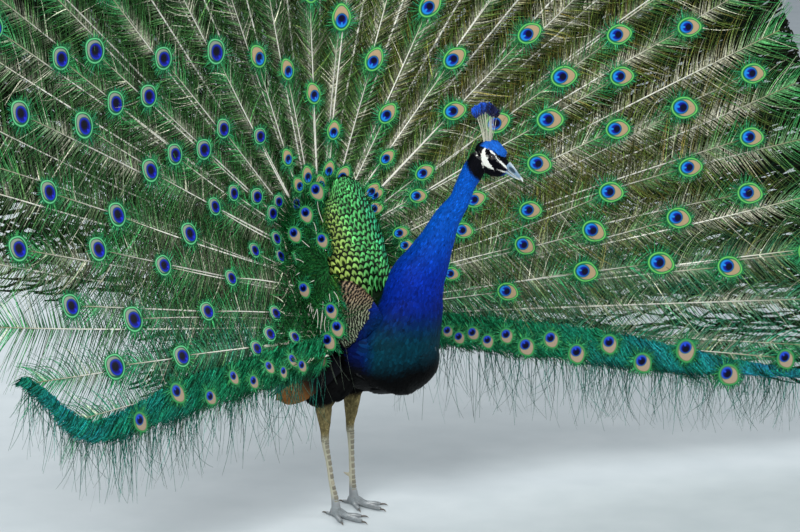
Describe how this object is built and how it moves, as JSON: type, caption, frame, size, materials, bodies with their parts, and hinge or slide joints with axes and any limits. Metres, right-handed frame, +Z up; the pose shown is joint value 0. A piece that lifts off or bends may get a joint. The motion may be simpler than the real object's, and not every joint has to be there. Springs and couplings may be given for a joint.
{
  "type": "displaying peacock, still life-size model",
  "caption": "Standing peacock with its train raised in a fan, head turned to its left; a still, life-size model.",
  "frame": {"origin": "on the floor, under the middle of the bounding box of the whole bird", "axes": "+Z up; -Y the way the open side of the fan faces; +X the bird's left, along the width of the fan"},
  "size_m": [2.2522, 0.5248, 1.8145],
  "materials": {
    "blue_feather": "flesh under glossy royal-blue feathers",
    "face_feather": "flesh under short blue and black feathers with bare white skin",
    "bill_horn": "smooth grey-blue horn, paler at the edges",
    "eyeball": "wet dark brown",
    "crest_feather": "pale bare shafts with blue vanes",
    "scale_feather": "flesh under golden-green scale feathers edged with black",
    "wing_feather": "flesh under barred buff and black feathers",
    "flight_feather": "chestnut flight feathers",
    "black_feather": "flesh under dull black feathers",
    "buff_feather": "flesh under short buff feathers",
    "leg_skin": "horny grey-brown plates",
    "claw_horn": "dark horn",
    "down": "soft grey-brown down",
    "tail_feather": "stiff brown vanes",
    "train_feather": "loose golden-green barbs with eye spots",
    "sword_feather": "dense bright green web with loose hanging barbs"
  },
  "bodies": {
    "root": {"head": "face_feather", "bill_upper": "bill_horn", "bill_lower": "bill_horn", "eye_left": "eyeball", "eye_right": "eyeball", "crest": "crest_feather", "neck_upper": "blue_feather", "neck_lower": "blue_feather", "trunk": "blue_feather", "back": "scale_feather", "under_tail": "down", "tail": "tail_feather", "wing_left": "wing_feather", "primaries_left": "flight_feather", "thigh_left": "black_feather", "shank_left": "buff_feather", "tarsus_left": "leg_skin", "foot_left": "leg_skin", "claw_left_middle": "claw_horn", "claw_left_inner": "claw_horn", "claw_left_outer": "claw_horn", "claw_left_rear": "claw_horn", "wing_right": "wing_feather", "primaries_right": "flight_feather", "thigh_right": "black_feather", "shank_right": "buff_feather", "tarsus_right": "leg_skin", "foot_right": "leg_skin", "claw_right_middle": "claw_horn", "claw_right_inner": "claw_horn", "claw_right_outer": "claw_horn", "claw_right_rear": "claw_horn", "train_01": "train_feather", "train_02": "train_feather", "train_03": "train_feather", "train_04": "train_feather", "train_05": "train_feather", "train_06": "train_feather", "train_07": "train_feather", "train_08": "train_feather", "train_09": "train_feather", "train_10": "train_feather", "train_11": "train_feather", "train_12": "train_feather", "train_edge_left": "sword_feather", "train_edge_right": "sword_feather"}
  },
  "joints": []
}
